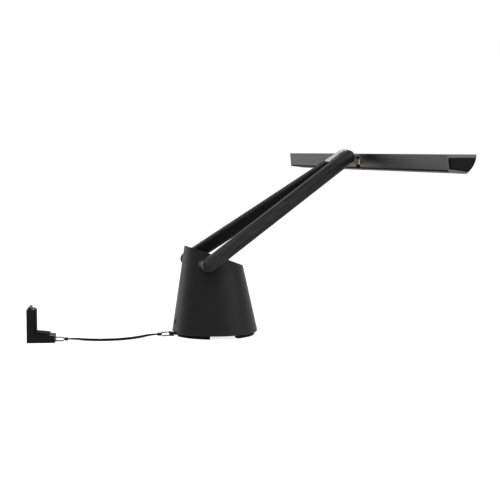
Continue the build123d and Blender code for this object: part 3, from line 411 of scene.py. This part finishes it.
def arm_crown(name, side):
    """A long round-ended pad, domed ring by ring, on the outer side of one arm.

    side is 1 for the right arm and -1 for the left, which is its mirror image."""
    pad = bmesh.new()
    rim = bmesh.ops.create_circle(
        pad, segments=CROWN_POINTS, radius=CROWN_HALF, cap_ends=True
    )["verts"]
    bmesh.ops.rotate(pad, matrix=Matrix.Rotation(math.pi / CROWN_POINTS, 3, "Z"), verts=rim)
    bmesh.ops.translate(pad, vec=(ARM_LENGTH, 0.0, 0.0), verts=[v for v in rim if v.co.x > 0])
    grown = bmesh.ops.extrude_face_region(pad, geom=pad.faces[:])["geom"]
    top = [item for item in grown if isinstance(item, bmesh.types.BMFace)]
    lifted = [item for item in grown if isinstance(item, bmesh.types.BMVert)]
    aside = CROWN_HALF * CROWN_RIM
    bmesh.ops.translate(pad, vec=(0.0, 0.0, crown_height(aside)), verts=lifted)
    for ring in range(1, CROWN_RINGS + 1):
        inner = CROWN_HALF * math.cos(0.5 * math.pi * ring / (CROWN_RINGS + 1))
        bmesh.ops.inset_region(
            pad,
            faces=top,
            thickness=aside - inner,
            depth=crown_height(inner) - crown_height(aside),
            use_even_offset=True,
            use_boundary=True,
        )
        aside = inner
    mirror = Matrix.Diagonal((1.0, side, 1.0, 1.0))
    bmesh.ops.transform(pad, matrix=mirror @ arm_stand(), verts=pad.verts[:])
    bmesh.ops.recalc_face_normals(pad, faces=pad.faces[:])
    crown = bpy.data.objects.new(name, bpy.data.meshes.new(name))
    pad.to_mesh(crown.data)
    pad.free()
    crown.data.shade_smooth()
    crown.data.materials.append(finishes["arm_finish"])
    bpy.context.scene.collection.objects.link(crown)
    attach(crown, "arms")


arm_crown("arm_crown_right", 1.0)
arm_crown("arm_crown_left", -1.0)

# Safety strap: flat woven webbing on one smooth line from the base's eye to the hook's eye.
# Its first and last two points run straight through the crimps, and the rest lie on the floor.
STRAP_W = 0.006
STRAP_T = 0.0016
STRAP_ROLL = 0.55
SELVEDGE = 0.45 * STRAP_T
# A Wave texture repeats every 0.314 m over its scale: ribs at 1.2 mm and rows at 0.8 mm
RIB_SCALE = 260.0
ROW_SCALE = 390.0
route = [
    (-0.1046, 0.0, 0.0042),
    (-0.1171, 0.0, 0.0042),
    (-0.1350, -0.0095, 0.0030),
    (-0.1580, -0.0195, 0.0022),
    (-0.1860, -0.0240, 0.0021),
    (-0.2140, -0.0195, 0.0021),
    (-0.2360, -0.0110, 0.0028),
    (-0.250877, -0.006571, 0.0042),
    (-0.263056, -0.003759, 0.0042),
]


def route_line(points):
    """Points along the smooth spline that has the route's points as its controls."""
    curve = bpy.data.curves.new("strap_line", "CURVE")
    curve.dimensions = "3D"
    curve.resolution_u = 16
    spline = curve.splines.new("NURBS")
    spline.points.add(len(points) - 1)
    for control, point in zip(spline.points, points):
        control.co = (*point, 1.0)
    spline.order_u = 3
    spline.use_endpoint_u = True
    holder = bpy.data.objects.new("strap_line", curve)
    mesh = bpy.data.meshes.new_from_object(holder)
    line = [vertex.co.copy() for vertex in mesh.vertices]
    bpy.data.objects.remove(holder)
    return line


def strap_frame(line, i):
    """Where the band's section stands at the line's point i: X across it, Y up and Z along it.

    The band is level at its crimps and leans towards its near edge between them."""
    way = (line[min(i + 1, len(line) - 1)] - line[max(i - 1, 0)]).normalized()
    across = way.cross(Vector((0.0, 0.0, 1.0))).normalized()
    up = across.cross(way)
    turned = Matrix((across, up, -way)).transposed()
    roll = STRAP_ROLL * math.sin(math.pi * i / (len(line) - 1)) ** 0.5
    return Matrix.Translation(line[i]) @ (turned @ Matrix.Rotation(roll, 3, "Z")).to_4x4()


def strap_mesh(line):
    """A flat band with rounded selvedges, extruded from its section along the line.

    Two vertex attributes, across and along, say where on the band each vertex lies."""
    band = bmesh.new()
    section = bmesh.ops.create_grid(band, x_segments=1, y_segments=1, size=0.5)["verts"]
    bmesh.ops.scale(band, vec=(STRAP_W, STRAP_T, 1.0), verts=section)
    bmesh.ops.bevel(
        band,
        geom=band.verts[:],
        offset=SELVEDGE,
        segments=3,
        profile=0.5,
        affect="VERTICES",
        material=-1,
    )
    across = band.verts.layers.float.new("across")
    along = band.verts.layers.float.new("along")
    for vertex in band.verts:
        vertex[across] = vertex.co.x
    start = strap_frame(line, 0)
    bmesh.ops.transform(band, matrix=start, verts=band.verts[:])
    end = band.faces[:]
    length = 0.0
    for i in range(1, len(line)):
        grown = bmesh.ops.extrude_face_region(band, geom=end)["geom"]
        if i > 1:
            bmesh.ops.delete(band, geom=end, context="FACES_ONLY")
        end = [item for item in grown if isinstance(item, bmesh.types.BMFace)]
        tips = [item for item in grown if isinstance(item, bmesh.types.BMVert)]
        stand = strap_frame(line, i)
        bmesh.ops.transform(band, matrix=stand @ start.inverted(), verts=tips)
        start = stand
        length += (line[i] - line[i - 1]).length
        for vertex in tips:
            vertex[along] = length
    bmesh.ops.recalc_face_normals(band, faces=band.faces[:])
    return band


def webbing_weave():
    """Black woven band: ribs 1.2 mm apart across it and warp rows 0.8 mm apart along it, dull."""
    material, tree = new_material("webbing")
    along = add(tree, "ShaderNodeAttribute", {"attribute_name": "along"}, {}).outputs["Fac"]
    across = add(tree, "ShaderNodeAttribute", {"attribute_name": "across"}, {}).outputs["Fac"]
    flat = add(tree, "ShaderNodeCombineXYZ", {}, {"X": along, "Y": across}).outputs["Vector"]
    ribs = add(
        tree,
        "ShaderNodeTexWave",
        {"bands_direction": "X"},
        {"Vector": flat, "Scale": RIB_SCALE, "Distortion": 0.4, "Detail": 1.0},
    )
    rows = add(
        tree,
        "ShaderNodeTexWave",
        {"bands_direction": "Y"},
        {"Vector": flat, "Scale": ROW_SCALE},
    )
    both = {0: ribs.outputs["Fac"], 1: rows.outputs["Fac"]}
    weave = add(tree, "ShaderNodeMath", {"operation": "MULTIPLY"}, both).outputs["Value"]
    tone = add(
        tree,
        "ShaderNodeMix",
        {"data_type": "RGBA"},
        {0: weave, 6: linear("050506"), 7: linear("131314")},
    )
    gloss = add(tree, "ShaderNodeMapRange", {}, {"Value": weave, "To Min": 0.88, "To Max": 0.7})
    values = {"Specular IOR Level": 0.1}
    close_up(tree, tone.outputs[2], gloss.outputs["Result"], weave, 0.00018, 0.0002, values)
    return material


strap_path = route_line(route)
webbing = bpy.data.objects.new("safety_webbing", bpy.data.meshes.new("safety_webbing"))
band = strap_mesh(strap_path)
band.to_mesh(webbing.data)
band.free()
webbing.data.shade_smooth()
bpy.context.scene.collection.objects.link(webbing)
webbing.data.materials.append(webbing_weave())
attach(webbing, "base")
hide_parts("safety_strap")

# Studio: a wide pale floor under an even white surround
FLOOR_HALF = 30.0


def shown(tree, hidden, plain):
    """A strength: plain for what the camera, a gloss or a glass sees, hidden for other light."""
    rays = add(tree, "ShaderNodeLightPath", {}, {}).outputs
    seen = rays["Is Camera Ray"]
    for other in ("Is Glossy Ray", "Is Transmission Ray"):
        either = {0: seen, 1: rays[other]}
        seen = add(tree, "ShaderNodeMath", {"operation": "MAXIMUM"}, either).outputs["Value"]
    strength = {"Value": seen, "To Min": hidden, "To Max": plain}
    return add(tree, "ShaderNodeMapRange", {}, strength).outputs["Result"]


floor_finish, sheet = new_material("floor")
feed(
    sheet,
    sheet.nodes["Principled BSDF"],
    {
        "Base Color": linear("b8b8b8"),
        "Roughness": 0.9,
        "Specular IOR Level": 0.0,
        "Emission Color": linear("ffffff"),
        "Emission Strength": shown(sheet, 0.0, 0.8),
    },
)
floor_mesh = bmesh.new()
bmesh.ops.create_grid(floor_mesh, x_segments=1, y_segments=1, size=FLOOR_HALF)
floor = bpy.data.objects.new("studio_floor", bpy.data.meshes.new("studio_floor"))
floor_mesh.to_mesh(floor.data)
floor_mesh.free()
floor.data.materials.append(floor_finish)
bpy.context.scene.collection.objects.link(floor)


def soft_light(name, place, aim, size, power, tint):
    """A large soft light of that size in metres and power in watts, turned to what it lights."""
    lamp = bpy.data.lights.new(name, "AREA")
    lamp.shape = "RECTANGLE"
    lamp.size, lamp.size_y = size
    lamp.energy = power
    lamp.color = tint
    holder = bpy.data.objects.new(name, lamp)
    holder.location = place
    way = Vector(aim) - Vector(place)
    holder.rotation_euler = way.to_track_quat("-Z", "Y").to_euler()
    bpy.context.scene.collection.objects.link(holder)


soft_light("top_light", (-0.7, -1.15, 2.0), (0.0, 0.0, 0.15), (1.0, 0.4), 26.0, (1.0, 1.0, 1.0))
soft_light("right_light", (1.7, -1.7, 1.0), (0.05, 0.0, 0.2), (2.0, 1.6), 26.0, (0.97, 0.98, 1.0))
soft_light("left_light", (-1.6, 1.9, 0.8), (0.0, 0.0, 0.2), (0.8, 1.6), 12.0, (1.0, 1.0, 1.0))

world = bpy.data.worlds.new("studio")
world.use_nodes = True
bpy.context.scene.world = world
sky = world.node_tree
feed(sky, sky.nodes["Background"], {"Color": linear("ffffff"), "Strength": shown(sky, 0.5, 1.0)})
bpy.context.scene.view_settings.view_transform = "Standard"
